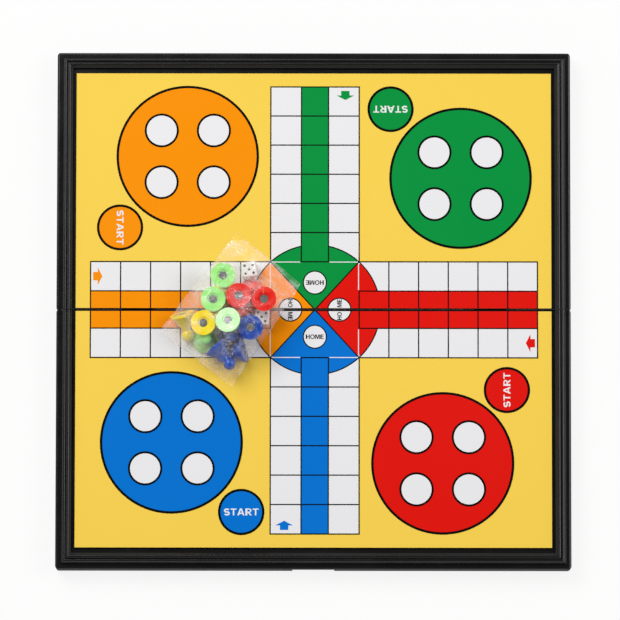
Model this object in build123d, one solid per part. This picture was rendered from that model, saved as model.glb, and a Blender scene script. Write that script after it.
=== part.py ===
from build123d import *
import math
import os

# Folding board-game box, open flat, with its bag of playing pieces lying on it.
# Millimetres. The origin is on the table under the middle of the fold. X runs along
# the fold, Y from the front half to the rear half, Z is up.

# ---------------------------------------------------------------- case, one half
BOARD_WIDTH = 320.0          # along the fold
HALF_DEPTH = 161.6           # fold line to the outer face
CREST_HEIGHT = 18.0          # table to the top of the frame
SEAM_GAP = 0.8               # between the two halves along the fold
CORNER_RADIUS = 2.3          # outer corners in plan
SEAM_CORNER_RADIUS = 1.0     # corners beside the fold
WALL = 2.0                   # moulded wall

# Frame moulding: distances in from the outer face, and drops below the crest.
LEDGE_WIDTH = 3.1            # low outer ledge
LEDGE_DROP = 4.6
SHOULDER_RADIUS = 1.3        # outer edge of the ledge
OUTER_BEAD_AT = 5.3
OUTER_BEAD_RADIUS = 1.0
OUTER_BEAD_DROP = 0.7        # crest of the outer bead below the inner one
INNER_BEAD_AT = 7.6
INNER_BEAD_RADIUS = 1.2
GROOVE_DROP = 1.7            # bottom of the groove between the beads
FRAME_WIDTH = 9.9            # outer face to the frame's inner face
LIP_DROP = 2.1               # top of the frame's inner face

# Panel inside the frame.
PANEL_DROP = 3.0             # panel top below the crest
CHANNEL_DEPTH = 1.1          # dark channel round the panel, below the panel top
END_CHANNEL = 2.2            # channel width at the left and right
SIDE_CHANNEL = 3.4           # channel width along the outer side
SEAM_MARGIN = 0.55           # seam face to the plate's edge
RIB_COUNT = 2                # stiffening ribs under each panel
RIB_THICKNESS = 1.4

# ---------------------------------------------------------------- printed plate
TAPE_THICKNESS = 0.1
TAPE_WIDTH = 8.0
TAPE_INSET = 1.0
PLATE_THICKNESS = 0.4
INK = 0.05                   # one pass of ink
LINE = 0.75                  # thin black lines
HEAVY_LINE = 1.5             # outlines of the discs
PALE_LINE = 1.2              # edges of the home square

PRINT_OFFSET = 0.8           # home square's centre, right of the board's centre
HOME_WIDTH = 55.1            # home square along X
HOME_DEPTH = 60.0            # home square along Y
UPRIGHT_LANE = 19.1          # outer lanes of the arms that run along Y
LEVEL_LANE = 18.35           # outer lanes of the arms that run along X
CELLS_PER_ARM = 6
LEFT_END_MARGIN = 9.2        # plate's left edge to the end of the left arm
RIGHT_END_MARGIN = 8.7       # and at the right
OUTER_END_MARGIN = 8.45      # plate's outer edge to the end of an upright arm
HOME_ARC_RADIUS = 40.6       # coloured swell round the home square
HOME_DISC_RADIUS = 6.8
HOME_DISC_AT = 16.95         # home discs of the arms along Y, from the centre
HOME_DISC_SIDE_AT = 15.3     # home discs of the arms along X, from the centre
BASE_RADIUS = 42.9
SPOT_RADIUS = 9.9
SPOT_PITCH = 32.5
START_RADIUS = 12.9
ARROW_LENGTH = 5.7
ARROW_WIDTH = 10.9
ARROW_STEM = 5.2
ARROW_SIDE_INSET = 4.45      # end of a level arm to the middle of its arrow
ARROW_OUTER_INSET = 5.35     # end of an upright arm to the middle of its arrow
ARROW_SHIFT = 0.9            # arrows of the upright arms, outwards from their lane's middle

# Big base discs and small start discs, from the plate's side edge and outer edge.
CORNERS = {"orange": (-1, 1), "green": (1, 1), "blue": (-1, -1), "red": (1, -1)}
BASE_MARGINS = {"orange": (26.5, 9.3), "green": (13.5, 22.9), "blue": (16.9, 22.5), "red": (24.8, 9.6)}
START_MARGINS = {"orange": (14.5, 84.0), "green": (87.1, 9.5), "blue": (90.3, 9.2), "red": (14.9, 85.3)}

# ---------------------------------------------------------------- fold
HINGE_SPACING = 5.6          # between the two pin axes of a link
HINGE_HEIGHT = 2.7           # pin axes above the table
BARREL_RADIUS = 2.4
PIN_RADIUS = 0.8
PIN_RUNNING = 0.05           # radial play of a link on its pin
PIN_SEAT = 0.02              # radial play of a pin in its lugs
PIN_END_PLAY = 0.5           # a pin's end below its lug's face
LINK_WIDTH = 20.0
LINK_PLAY = 0.3              # link to lug, each side
LINK_WEB = 2.4
LINK_INSET = 50.0            # ends of the case to the middles of the links
LUG_WIDTH = 5.0
NOTCH_CLEARANCE = 0.4

# ---------------------------------------------------------------- flip clasp
CLIP_WIDTH = 24.0
CLIP_PLATE = 1.4
CLIP_NOSE = 1.0              # how far the nose stands off the plate
CLIP_NOSE_HEIGHT = 1.6
CLIP_AXIS_HEIGHT = 2.4
CLIP_AXIS_INSET = 1.2        # pin axis in from the outer face
CLIP_PIN_RADIUS = 0.5
CLIP_PIN_GRIP = 2.5          # depth of the pin's hole in the wall, each end
CLIP_PIN_END_PLAY = 0.2      # pin's end to the bottom of its hole
POCKET_DEPTH = 2.6
POCKET_SIDE_PLAY = 1.0
POCKET_HEADROOM = 0.6        # above the stowed clip
POCKET_BELOW_SHOULDER = 0.5  # pocket roof below the rounded edge
CATCH_DEPTH = 1.0            # how far the catch bead stands out
CATCH_HEIGHT = 1.7
CATCH_PLAY = 0.3             # nose to catch bead when shut
RIM_GAP = 2 * HINGE_HEIGHT - HINGE_SPACING   # negative: how far apart the shut rims stand

# ---------------------------------------------------------------- playing pieces
PAWN_HEIGHT = 18.0
PAWN_BASE_RADIUS = 7.7
PAWN_RIM = 1.5               # straight edge of the base
PAWN_FLARE_RADIUS = 4.4      # a point on the flare between rim and neck
PAWN_FLARE_HEIGHT = 5.9
PAWN_NECK_RADIUS = 2.4
PAWN_HEAD_RADIUS = 3.9
PAWN_PLAY = 0.6              # between neighbours in the bag
MAGNET_RADIUS = 2.5
MAGNET_THICKNESS = 2.0
MAGNET_SEAT = 0.05
MAGNET_SET_BACK = 0.3        # magnet's face in from the base
BASE_RECESS_RADIUS = 3.6
BASE_RECESS_DEPTH = 0.6
DIE_SIZE = 9.5
DIE_EDGE = 1.2
PIP_RADIUS = 0.8
PIP_DEPTH = 0.4
PIP_PAINT = 0.2
PIP_PITCH = 2.5

# ---------------------------------------------------------------- polybag
SIDE_FILM = 0.3              # film left over between the heap and the bag's sides
HEAD_FILM = 7.0              # and its empty end
FOOT_FILM = 4.6              # and its other end
BAG_EDGES = [(142.1, SIDE_FILM), (50.9, HEAD_FILM), (-33.6, SIDE_FILM), (-127.3, FOOT_FILM)]
BAG_SLOPES = (25, 45, 65)    # degrees above level, of the ways the drawn-in film faces
BAG_SLOPE_COUNT = 8          # round the heap, at each slope
BAG_SLACK = 0.5              # heap to the drawn-in film
BAG_FLAT = 1.6               # height of the bag where it is empty
FILM = 0.25
BAG_LIFT = 0.3               # clear of the print it lies on
HEAP_GAP = 0.1               # heap above the film under it
HEAP_X = -62.2               # axis of the pawn that the heap is counted from
HEAP_Y = 4.2
HEAP_TURN = 67.8             # degrees, rows of the heap from +X
HEAD_DOWN_LIFT = 3.0         # pawns standing on their heads sit this much higher
ON_SIDE_DIP = 16.1           # degrees, a pawn on its rim and head leans this much
ON_SIDE_HEIGHT = 7.9         # middle of its base above the floor of the bag
LEANING_HEIGHT = 12.6        # the same for the pawn that leans on its neighbours
TOPMOST_HEIGHT = 23.7        # and for the tilted one on top

# ---------------------------------------------------------------- worked out
SEAM_FACE = SEAM_GAP / 2
HALF_WIDTH = BOARD_WIDTH / 2
LEDGE_TOP = CREST_HEIGHT - LEDGE_DROP
SHOULDER_BOTTOM = LEDGE_TOP - SHOULDER_RADIUS
LIP_TOP = CREST_HEIGHT - LIP_DROP
PANEL_TOP = CREST_HEIGHT - PANEL_DROP
CHANNEL_FLOOR = PANEL_TOP - CHANNEL_DEPTH
CHANNEL_UNDERSIDE = CHANNEL_FLOOR - WALL
PANEL_UNDERSIDE = PANEL_TOP - WALL
PLATE_HALF_WIDTH = HALF_WIDTH - FRAME_WIDTH - END_CHANNEL
PLATE_OUTER = HALF_DEPTH - FRAME_WIDTH - SIDE_CHANNEL
PLATE_INNER = SEAM_FACE + SEAM_MARGIN
PLATE_BOTTOM = PANEL_TOP + TAPE_THICKNESS
PLATE_TOP = PLATE_BOTTOM + PLATE_THICKNESS
PRINT_TOP = PLATE_TOP + 2 * INK
BAG_BOTTOM = PRINT_TOP + BAG_LIFT
LINK_AT = HALF_WIDTH - LINK_INSET
HINGE_AXIS = HINGE_SPACING / 2
NOTCH_WIDTH = LINK_WIDTH + 2 * LINK_PLAY
NOTCH_TOP = HINGE_HEIGHT + BARREL_RADIUS + NOTCH_CLEARANCE
CLIP_AXIS = HALF_DEPTH - CLIP_AXIS_INSET
POCKET_TOP = SHOULDER_BOTTOM - POCKET_BELOW_SHOULDER
CLIP_TOP = POCKET_TOP - POCKET_HEADROOM
POCKET_WIDTH = CLIP_WIDTH + 2 * POCKET_SIDE_PLAY

UP = (0, 0, 1)
PAST = 1.0                   # cuts run this far past the faces they open

os.makedirs("parts", exist_ok=True)


def block(x, y, z):
    """A box between two values on each axis."""
    size = Box(x[1] - x[0], y[1] - y[0], z[1] - z[0])
    return Pos((x[0] + x[1]) / 2, (y[0] + y[1]) / 2, (z[0] + z[1]) / 2) * size


def rod(x, y, z, radius):
    """A round bar along X between two values of x."""
    bar = Cylinder(radius, x[1] - x[0], rotation=(0, 90, 0))
    return Pos((x[0] + x[1]) / 2, y, z) * bar


def save(shape, name, colour):
    shape.label = name
    shape.color = Color(*colour)
    export_step(shape, f"parts/{name}.step")


def facing(shape):
    """The same shape on the front half."""
    return shape.mirror(Plane.XZ)


# Colours only help to tell the nodes apart.
BLACK = (0.03, 0.03, 0.03)
STEEL = (0.6, 0.6, 0.62)
WHITE = (0.85, 0.84, 0.85)
INKS = {
    "white": WHITE,
    "black": BLACK,
    "orange": (0.95, 0.30, 0.0),
    "green": (0.0, 0.30, 0.05),
    "red": (0.77, 0.01, 0.01),
    "blue": (0.0, 0.18, 0.66),
}
YELLOW = (0.96, 0.66, 0.10)


# ================================================================ case halves
def frame_section():
    """Section of the frame: x is the distance in from the outer face, y the height."""
    outer_bead = CREST_HEIGHT - OUTER_BEAD_DROP - OUTER_BEAD_RADIUS
    inner_bead = CREST_HEIGHT - INNER_BEAD_RADIUS
    groove = CREST_HEIGHT - GROOVE_DROP
    solid = Polygon(
        (0, 0),
        (0, LEDGE_TOP),
        (LEDGE_WIDTH, LEDGE_TOP),
        (OUTER_BEAD_AT - OUTER_BEAD_RADIUS, outer_bead),
        (OUTER_BEAD_AT, groove),
        (INNER_BEAD_AT, groove),
        (INNER_BEAD_AT + INNER_BEAD_RADIUS, inner_bead),
        (FRAME_WIDTH, LIP_TOP),
        (FRAME_WIDTH, 0),
        align=None,
    )
    edge = solid.vertices().sort_by_distance(Vector(0, LEDGE_TOP, 0))[0]
    solid = fillet(edge, SHOULDER_RADIUS)
    solid += Pos(OUTER_BEAD_AT, outer_bead) * Circle(OUTER_BEAD_RADIUS)
    solid += Pos(INNER_BEAD_AT, inner_bead) * Circle(INNER_BEAD_RADIUS)
    return solid


def frame_core():
    """What is cored out of the frame from below, one wall inside it."""
    roof = CREST_HEIGHT - GROOVE_DROP - WALL
    return Polygon(
        (WALL, -PAST),
        (WALL, LEDGE_TOP - WALL),
        (LEDGE_WIDTH + WALL / 2, LEDGE_TOP - WALL),
        (OUTER_BEAD_AT, roof),
        (FRAME_WIDTH - WALL, roof),
        (FRAME_WIDTH - WALL, CHANNEL_UNDERSIDE),
        (FRAME_WIDTH + WALL, CHANNEL_UNDERSIDE),
        (FRAME_WIDTH + WALL, -PAST),
        align=None,
    )


def around_frame(section):
    """Sweep a section round the three framed sides, mitred at the corners."""
    start = -PAST
    path = Polyline(
        (-HALF_WIDTH, start, 0),
        (-HALF_WIDTH, HALF_DEPTH, 0),
        (HALF_WIDTH, HALF_DEPTH, 0),
        (HALF_WIDTH, start, 0),
    )
    at_start = Plane(origin=(-HALF_WIDTH, start, 0), x_dir=(1, 0, 0), z_dir=(0, -1, 0))
    return sweep(at_start * section, path=path, transition=Transition.RIGHT)


def plan_outline():
    """Plan of one half, with its corners rounded."""
    plan = Pos(0, (SEAM_FACE + HALF_DEPTH) / 2) * Rectangle(BOARD_WIDTH, HALF_DEPTH - SEAM_FACE)
    corners = plan.vertices().group_by(Axis.Y)
    plan = fillet(corners[-1], CORNER_RADIUS)
    beside_seam = plan.vertices().group_by(Axis.Y)[0]
    return fillet(beside_seam, SEAM_CORNER_RADIUS)


def lug(x):
    """Ear of the case beside a link, holding one end of a hinge pin."""
    ear = block(x, (SEAM_FACE, HINGE_AXIS + BARREL_RADIUS), (HINGE_HEIGHT, NOTCH_TOP + WALL))
    return ear + rod(x, HINGE_AXIS, HINGE_HEIGHT, BARREL_RADIUS)


def half_case():
    """Moulding common to both halves, drawn as the rear half."""
    everything = (-HALF_WIDTH - PAST, HALF_WIDTH + PAST)
    shell = around_frame(frame_section()) - around_frame(frame_core())
    # Closed ends of the frame beside the fold.
    at_seam = Plane(origin=(-HALF_WIDTH, SEAM_FACE, 0), x_dir=(1, 0, 0), z_dir=(0, -1, 0))
    end = extrude(at_seam * frame_section(), -WALL)
    shell += end
    shell += end.mirror(Plane.YZ)
    # Pan inside the frame, raised in the middle to carry the plate.
    pan_half = HALF_WIDTH - FRAME_WIDTH + WALL / 2
    pan_outer = HALF_DEPTH - FRAME_WIDTH + WALL / 2
    shell += block((-pan_half, pan_half), (SEAM_FACE, pan_outer), (CHANNEL_UNDERSIDE, CHANNEL_FLOOR))
    shell += block(
        (-PLATE_HALF_WIDTH, PLATE_HALF_WIDTH),
        (SEAM_FACE, PLATE_OUTER),
        (CHANNEL_FLOOR, PANEL_TOP),
    )
    # Thinned from below, leaving the ribs.
    inside = PLATE_HALF_WIDTH - WALL
    bay = (2 * inside - RIB_COUNT * RIB_THICKNESS) / (RIB_COUNT + 1)
    for i in range(RIB_COUNT + 1):
        left = -inside + i * (bay + RIB_THICKNESS)
        shell -= block(
            (left, left + bay),
            (SEAM_FACE + 2 * WALL, PLATE_OUTER - WALL),
            (CHANNEL_UNDERSIDE - PAST, PANEL_UNDERSIDE),
        )
    # Wall along the fold.
    shell += block((-HALF_WIDTH + WALL / 2, HALF_WIDTH - WALL / 2),
                   (SEAM_FACE, SEAM_FACE + WALL), (0, CHANNEL_FLOOR))
    # Notches for the links, with an ear each side.
    for side in (-1, 1):
        centre = side * LINK_AT
        left = centre - NOTCH_WIDTH / 2
        right = centre + NOTCH_WIDTH / 2
        shell += lug((left - LUG_WIDTH, left))
        shell += lug((right, right + LUG_WIDTH))
        shell -= block((left, right), (0, HINGE_AXIS + 2 * BARREL_RADIUS), (-PAST, NOTCH_TOP))
        shell -= rod((left - LUG_WIDTH - PAST, right + LUG_WIDTH + PAST), HINGE_AXIS,
                     HINGE_HEIGHT, PIN_RADIUS + PIN_SEAT)
    # The edge along the fold is rounded about the pin axis, so the halves turn freely.
    corner = block(everything, (0, HINGE_AXIS), (-PAST, HINGE_HEIGHT))
    corner -= rod(everything, HINGE_AXIS, HINGE_HEIGHT, BARREL_RADIUS)
    shell -= corner
    return shell & extrude(plan_outline(), CREST_HEIGHT + PAST)


def pocket(shell, top):
    """Sink a pocket for the clip into the outer wall, with a wall behind it."""
    half = POCKET_WIDTH / 2
    backing = block((-half - WALL, half + WALL),
                    (HALF_DEPTH - POCKET_DEPTH - WALL, HALF_DEPTH - WALL / 2), (0, top + WALL))
    shell += backing
    return shell - block((-half, half), (HALF_DEPTH - POCKET_DEPTH, HALF_DEPTH + PAST),
                         (-PAST, top))


def rear_case():
    shell = pocket(half_case(), POCKET_TOP)
    reach = POCKET_WIDTH / 2 + CLIP_PIN_GRIP
    return shell - rod((-reach, reach), CLIP_AXIS, CLIP_AXIS_HEIGHT, CLIP_PIN_RADIUS + PIN_SEAT)


def nose_in_front_half():
    """Where the engaged nose starts, above the front half's rim."""
    return CLIP_TOP - CLIP_NOSE_HEIGHT - 2 * CLIP_AXIS_HEIGHT + RIM_GAP


def front_case():
    nose = nose_in_front_half()
    shell = pocket(half_case(), nose + CLIP_NOSE_HEIGHT + 2 * POCKET_HEADROOM + WALL)
    catch_top = nose - CATCH_PLAY
    floor = HALF_DEPTH - POCKET_DEPTH
    half = CLIP_WIDTH / 2
    shell += block((-half, half), (floor - WALL / 2, floor + CATCH_DEPTH),
                   (catch_top - CATCH_HEIGHT, catch_top))
    return facing(shell)


save(rear_case(), "rear_case", BLACK)
save(front_case(), "front_case", BLACK)


# ================================================================ plates and print
def plate_tape():
    """Frame of thin double-sided tape under the plate's edge."""
    width = 2 * (PLATE_HALF_WIDTH - TAPE_INSET)
    depth = PLATE_OUTER - PLATE_INNER - 2 * TAPE_INSET
    middle = Pos(0, (PLATE_OUTER + PLATE_INNER) / 2, PANEL_TOP)
    strips = Rectangle(width, depth) - Rectangle(width - 2 * TAPE_WIDTH, depth - 2 * TAPE_WIDTH)
    return extrude(middle * strips, TAPE_THICKNESS, dir=UP)


def plate():
    return block((-PLATE_HALF_WIDTH, PLATE_HALF_WIDTH), (PLATE_INNER, PLATE_OUTER),
                 (PLATE_BOTTOM, PLATE_TOP))


save(plate_tape(), "rear_tape", (0.75, 0.7, 0.55))
save(facing(plate_tape()), "front_tape", (0.75, 0.7, 0.55))
save(plate(), "rear_plate", YELLOW)
save(facing(plate()), "front_plate", YELLOW)

# Track: four arms round the home square, counted from PRINT_OFFSET; -1 is left or front.
HALF_HOME_X = HOME_WIDTH / 2
HALF_HOME_Y = HOME_DEPTH / 2
ARM_END_X = {
    -1: PLATE_HALF_WIDTH - LEFT_END_MARGIN + PRINT_OFFSET,
    1: PLATE_HALF_WIDTH - RIGHT_END_MARGIN - PRINT_OFFSET,
}
ARM_END_Y = PLATE_OUTER - OUTER_END_MARGIN
CELL_Y = (ARM_END_Y - HALF_HOME_Y) / CELLS_PER_ARM
UPRIGHT_MIDDLE = HALF_HOME_X - UPRIGHT_LANE      # half the coloured lane of an upright arm
LEVEL_MIDDLE = HALF_HOME_Y - LEVEL_LANE          # half the coloured lane of a level arm


def disc_centre(colour, margins, radius):
    """Centre of a disc in the corner of one colour."""
    x_side, y_side = CORNERS[colour]
    side_margin, outer_margin = margins[colour]
    x = PLATE_HALF_WIDTH - side_margin - radius
    y = PLATE_OUTER - outer_margin - radius
    return x_side * x, y_side * y


BASES = {colour: disc_centre(colour, BASE_MARGINS, BASE_RADIUS) for colour in CORNERS}
STARTS = {colour: disc_centre(colour, START_MARGINS, START_RADIUS) for colour in CORNERS}


def patch(x, y):
    """A printed rectangle between two values on each axis, counted from the track centre."""
    middle = Pos(PRINT_OFFSET + (x[0] + x[1]) / 2, (y[0] + y[1]) / 2)
    return middle * Rectangle(x[1] - x[0], y[1] - y[0])


def spot(x, y, radius):
    return Pos(x, y) * Circle(radius)


def ring(x, y, radius, line):
    """A round outline, outside a field of the given radius."""
    return spot(x, y, radius + line) - spot(x, y, radius)


def home_disc_places():
    """Centres of the four home discs, counted from the track centre."""
    return [
        (0, HOME_DISC_AT),
        (0, -HOME_DISC_AT),
        (-HOME_DISC_SIDE_AT, 0),
        (HOME_DISC_SIDE_AT, 0),
    ]


def spots_of(colour):
    x, y = BASES[colour]
    step = SPOT_PITCH / 2
    return [(x + i * step, y + j * step) for i in (-1, 1) for j in (-1, 1)]


def swell():
    return spot(PRINT_OFFSET, 0, HOME_ARC_RADIUS)


def arm_lane(direction):
    """Coloured middle lane of an arm, with its swell and its part of the home square."""
    if direction in ("up", "down"):
        sign = 1 if direction == "up" else -1
        along = sorted((sign * HALF_HOME_Y, sign * ARM_END_Y))
        lane = patch((-UPRIGHT_MIDDLE, UPRIGHT_MIDDLE), along)
        sides = patch((-HALF_HOME_X, HALF_HOME_X), along)
        corners = [(-HALF_HOME_X, sign * HALF_HOME_Y), (HALF_HOME_X, sign * HALF_HOME_Y)]
    else:
        sign = 1 if direction == "right" else -1
        along = sorted((sign * HALF_HOME_X, sign * ARM_END_X[sign]))
        lane = patch(along, (-LEVEL_MIDDLE, LEVEL_MIDDLE))
        sides = patch(along, (-HALF_HOME_Y, HALF_HOME_Y))
        corners = [(sign * HALF_HOME_X, -HALF_HOME_Y), (sign * HALF_HOME_X, HALF_HOME_Y)]
    wedge = Pos(PRINT_OFFSET, 0) * Polygon((0, 0), *corners, align=None)
    return lane + (sides & swell()) + wedge


ARM_OF = {"green": "up", "blue": "down", "orange": "left", "red": "right"}


def discs(colour):
    """Base disc and start disc of a colour."""
    return spot(*BASES[colour], BASE_RADIUS) + spot(*STARTS[colour], START_RADIUS)


def colour_field(colour):
    """First pass of a colour: its discs, its lane and its home wedge, clear of the other discs."""
    field = arm_lane(ARM_OF[colour])
    for other in CORNERS:
        field -= discs(other)
    return field + discs(colour)


def white_lanes():
    """White outer lanes of the arms, outside the coloured swells and the discs."""
    lanes = Sketch()
    for side in (-1, 1):
        upright = sorted((side * UPRIGHT_MIDDLE, side * HALF_HOME_X))
        level = sorted((side * LEVEL_MIDDLE, side * HALF_HOME_Y))
        for end in (-1, 1):
            lanes += patch(upright, sorted((end * HALF_HOME_Y, end * ARM_END_Y)))
            lanes += patch(sorted((end * HALF_HOME_X, end * ARM_END_X[end])), level)
    for colour in CORNERS:
        lanes -= discs(colour)
    return lanes - swell()


def stroke_x(y, x):
    """A thin black line along X."""
    return patch(x, (y - LINE / 2, y + LINE / 2))


def stroke_y(x, y):
    """A thin black line along Y."""
    return patch((x - LINE / 2, x + LINE / 2), y)


def grid_lines():
    """Outlines and cell lines of the four arms."""
    lines = []
    for end in (-1, 1):
        along_y = sorted((end * HALF_HOME_Y, end * (ARM_END_Y + LINE / 2)))
        along_x = sorted((end * HALF_HOME_X, end * (ARM_END_X[end] + LINE / 2)))
        cell_x = (ARM_END_X[end] - HALF_HOME_X) / CELLS_PER_ARM
        for x in (-HALF_HOME_X, -UPRIGHT_MIDDLE, UPRIGHT_MIDDLE, HALF_HOME_X):
            lines.append(stroke_y(x, along_y))
        for y in (-HALF_HOME_Y, -LEVEL_MIDDLE, LEVEL_MIDDLE, HALF_HOME_Y):
            lines.append(stroke_x(y, along_x))
        for i in range(1, CELLS_PER_ARM + 1):
            lines.append(stroke_x(end * (HALF_HOME_Y + i * CELL_Y), (-HALF_HOME_X, HALF_HOME_X)))
            lines.append(stroke_y(end * (HALF_HOME_X + i * cell_x), (-HALF_HOME_Y, HALF_HOME_Y)))
        lines.append(stroke_x(end * HALF_HOME_Y, (-UPRIGHT_MIDDLE, UPRIGHT_MIDDLE)))
        lines.append(stroke_y(end * HALF_HOME_X, (-LEVEL_MIDDLE, LEVEL_MIDDLE)))
    return lines


def home_lines():
    """Diagonals of the home square and the arcs round it."""
    length = 2 * math.hypot(HALF_HOME_X, HALF_HOME_Y)
    angle = math.degrees(math.atan2(HALF_HOME_Y, HALF_HOME_X))
    lines = [Pos(PRINT_OFFSET, 0) * Rot(0, 0, s * angle) * Rectangle(length, LINE) for s in (-1, 1)]
    arc = ring(PRINT_OFFSET, 0, HOME_ARC_RADIUS - LINE / 2, LINE)
    for side in (-1, 1):
        upright = sorted((side * UPRIGHT_MIDDLE, side * HALF_HOME_X))
        level = sorted((side * LEVEL_MIDDLE, side * HALF_HOME_Y))
        for end in (-1, 1):
            lines.append(arc & patch(upright, sorted((end * HALF_HOME_Y, end * ARM_END_Y))))
            lines.append(arc & patch(sorted((end * HALF_HOME_X, end * ARM_END_X[end])), level))
    return lines


def black_print():
    """All black lines of the board in one sketch."""
    lines = grid_lines() + home_lines()
    for colour, (x, y) in BASES.items():
        lines.append(ring(x, y, BASE_RADIUS, HEAVY_LINE))
        lines.extend(ring(a, b, SPOT_RADIUS, LINE) for a, b in spots_of(colour))
    for x, y in STARTS.values():
        lines.append(ring(x, y, START_RADIUS, HEAVY_LINE))
    for x, y in home_disc_places():
        lines.append(ring(PRINT_OFFSET + x, y, HOME_DISC_RADIUS, LINE))
    return Sketch() + lines


def arrow(x, y, turn):
    """Fat arrow on the first square of a colour, pointing along +X before it is turned."""
    head = ARROW_WIDTH / 2
    stem = ARROW_STEM / 2
    half = ARROW_LENGTH / 2
    shape = Polygon(
        (half, 0), (0, head), (0, stem), (-half, stem), (-half, -stem), (0, -stem), (0, -head),
        align=None,
    )
    return Pos(PRINT_OFFSET + x, y) * Rot(0, 0, turn) * shape


def arrow_of(colour):
    end_y = ARM_END_Y - ARROW_OUTER_INSET
    side_x = HALF_HOME_X - UPRIGHT_LANE / 2 + ARROW_SHIFT
    side_y = HALF_HOME_Y - LEVEL_LANE / 2
    places = {
        "orange": (-ARM_END_X[-1] + ARROW_SIDE_INSET, side_y, 0),
        "green": (side_x, end_y, -90),
        "red": (ARM_END_X[1] - ARROW_SIDE_INSET, -side_y, 180),
        "blue": (-side_x, -end_y, 90),
    }
    return arrow(*places[colour])


def pale_lines():
    """Pale edges of the home square across the outer lanes."""
    lines = Sketch()
    half = PALE_LINE / 2
    for end in (-1, 1):
        for side in (-1, 1):
            upright = sorted((side * (UPRIGHT_MIDDLE + LINE), side * (HALF_HOME_X - LINE)))
            level = sorted((side * (LEVEL_MIDDLE + LINE), side * (HALF_HOME_Y - LINE)))
            y = end * HALF_HOME_Y
            x = end * HALF_HOME_X
            lines += patch(upright, (y - half, y + half))
            lines += patch((x - half, x + half), level)
    return lines


def white_print():
    """Second pass of white: spots, home discs and the pale edges of the home square."""
    whites = [spot(x, y, SPOT_RADIUS) for colour in BASES for x, y in spots_of(colour)]
    whites += [spot(PRINT_OFFSET + x, y, HOME_DISC_RADIUS) for x, y in home_disc_places()]
    return Sketch() + whites + (pale_lines() - (Sketch() + home_lines()))


def printed(first, second, side):
    """Two passes of one ink on one half: side is 1 for the rear half and -1 for the front."""
    depth = PLATE_OUTER - PLATE_INNER
    area = Pos(0, side * (PLATE_OUTER + PLATE_INNER) / 2) * Rectangle(2 * PLATE_HALF_WIDTH, depth)
    layers = []
    if first is not None:
        layers += extrude(Pos(0, 0, PLATE_TOP) * (first & area), INK, dir=UP).solids()
    if second is not None:
        layers += extrude(Pos(0, 0, PLATE_TOP + INK) * (second & area), INK, dir=UP).solids()
    return Compound(children=layers)


FIELDS = {colour: colour_field(colour) for colour in BASES}
ARROWS = {colour: arrow_of(colour) for colour in BASES}
LANES = white_lanes()
BLACKS = black_print()
WHITES = white_print()
HALF_COLOURS = {"rear": ("orange", "green", "red"), "front": ("orange", "red", "blue")}

for half, side in (("rear", 1), ("front", -1)):
    save(printed(LANES, WHITES, side), f"{half}_print_white", INKS["white"])
    save(printed(None, BLACKS, side), f"{half}_print_black", INKS["black"])
    for colour in HALF_COLOURS[half]:
        on_this_half = ARROWS[colour].center().Y * side > 0
        own_arrow = ARROWS[colour] if on_this_half else None
        save(printed(FIELDS[colour], own_arrow, side), f"{half}_print_{colour}", INKS[colour])


# ================================================================ fold
def hinge_link(x):
    """Two-pin link: a barrel round each pin and a web between them."""
    width = (x - LINK_WIDTH / 2, x + LINK_WIDTH / 2)
    web = (HINGE_HEIGHT - LINK_WEB / 2, HINGE_HEIGHT + LINK_WEB / 2)
    link = block(width, (-HINGE_AXIS, HINGE_AXIS), web)
    for y in (-HINGE_AXIS, HINGE_AXIS):
        link += rod(width, y, HINGE_HEIGHT, BARREL_RADIUS)
    for y in (-HINGE_AXIS, HINGE_AXIS):
        link -= rod((width[0] - PAST, width[1] + PAST), y, HINGE_HEIGHT, PIN_RADIUS + PIN_RUNNING)
    return link


def hinge_pins(y):
    """The two steel pins of one half."""
    reach = NOTCH_WIDTH / 2 + LUG_WIDTH - PIN_END_PLAY
    pins = [rod((x - reach, x + reach), y, HINGE_HEIGHT, PIN_RADIUS) for x in (-LINK_AT, LINK_AT)]
    return Compound(children=pins)


save(hinge_link(-LINK_AT), "left_hinge_link", (0.07, 0.07, 0.07))
save(hinge_link(LINK_AT), "right_hinge_link", (0.07, 0.07, 0.07))
save(hinge_pins(HINGE_AXIS), "rear_hinge_pins", STEEL)
save(hinge_pins(-HINGE_AXIS), "front_hinge_pins", STEEL)


# ================================================================ flip clasp
def clasp():
    """Clip plate with a barrel round its pin and a nose at its free end, stowed upright."""
    width = (-CLIP_WIDTH / 2, CLIP_WIDTH / 2)
    back = CLIP_AXIS - CLIP_AXIS_INSET
    front = back + CLIP_PLATE
    clip = block(width, (back, front), (CLIP_AXIS_HEIGHT, CLIP_TOP))
    clip += block(width, (front, front + CLIP_NOSE), (CLIP_TOP - CLIP_NOSE_HEIGHT, CLIP_TOP))
    clip += rod(width, CLIP_AXIS, CLIP_AXIS_HEIGHT, CLIP_AXIS_INSET)
    past = (width[0] - PAST, width[1] + PAST)
    return clip - rod(past, CLIP_AXIS, CLIP_AXIS_HEIGHT, CLIP_PIN_RADIUS + PIN_RUNNING)


def clasp_pin():
    reach = POCKET_WIDTH / 2 + CLIP_PIN_GRIP - CLIP_PIN_END_PLAY
    return rod((-reach, reach), CLIP_AXIS, CLIP_AXIS_HEIGHT, CLIP_PIN_RADIUS)


save(clasp(), "clasp", (0.07, 0.07, 0.07))
save(clasp_pin(), "clasp_pin", STEEL)


# ================================================================ playing pieces
MAGNET_TOP = MAGNET_SET_BACK + MAGNET_THICKNESS


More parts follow.
